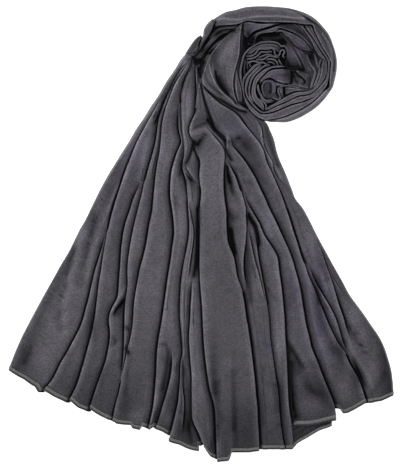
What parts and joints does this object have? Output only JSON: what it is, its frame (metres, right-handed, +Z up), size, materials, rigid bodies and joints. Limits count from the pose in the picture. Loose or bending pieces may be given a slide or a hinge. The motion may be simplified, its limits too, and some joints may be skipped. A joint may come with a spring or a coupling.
{
  "type": "headscarf",
  "caption": "Long soft headscarf laid flat, its overlocked end fanned out in knife pleats and its other end gathered and wound into a rosette.",
  "frame": {"origin": "on the table under the middle of the scarf's outline as it lies", "axes": "+Z up off the table; +Y from the pleated hem towards the rosette; +X to the rosette's side"},
  "size_m": [0.5022, 0.5904, 0.042],
  "materials": {
    "scarf_cloth": "soft charcoal crepe jersey, matt with a light sheen on its folds",
    "hem_thread": "matt overlock thread, ribbed across the edge",
    "hidden_cloth": "the same crepe jersey, in the shade under the folds"
  },
  "bodies": {
    "root": {"pleated_fan": "scarf_cloth", "fan_hem": "hem_thread", "fan_hidden_layers": "hidden_cloth", "lower_layer": "scarf_cloth", "lower_hem": "hem_thread", "neck_strands": "scarf_cloth", "soft_lobe": "scarf_cloth", "outer_turn": "scarf_cloth", "second_turn": "scarf_cloth", "inner_turn": "scarf_cloth", "gathered_end": "scarf_cloth", "pocket_side": "scarf_cloth", "rosette_heart": "scarf_cloth", "wound_end_hem": "hem_thread", "rosette_hidden_layers": "hidden_cloth"}
  },
  "joints": []
}
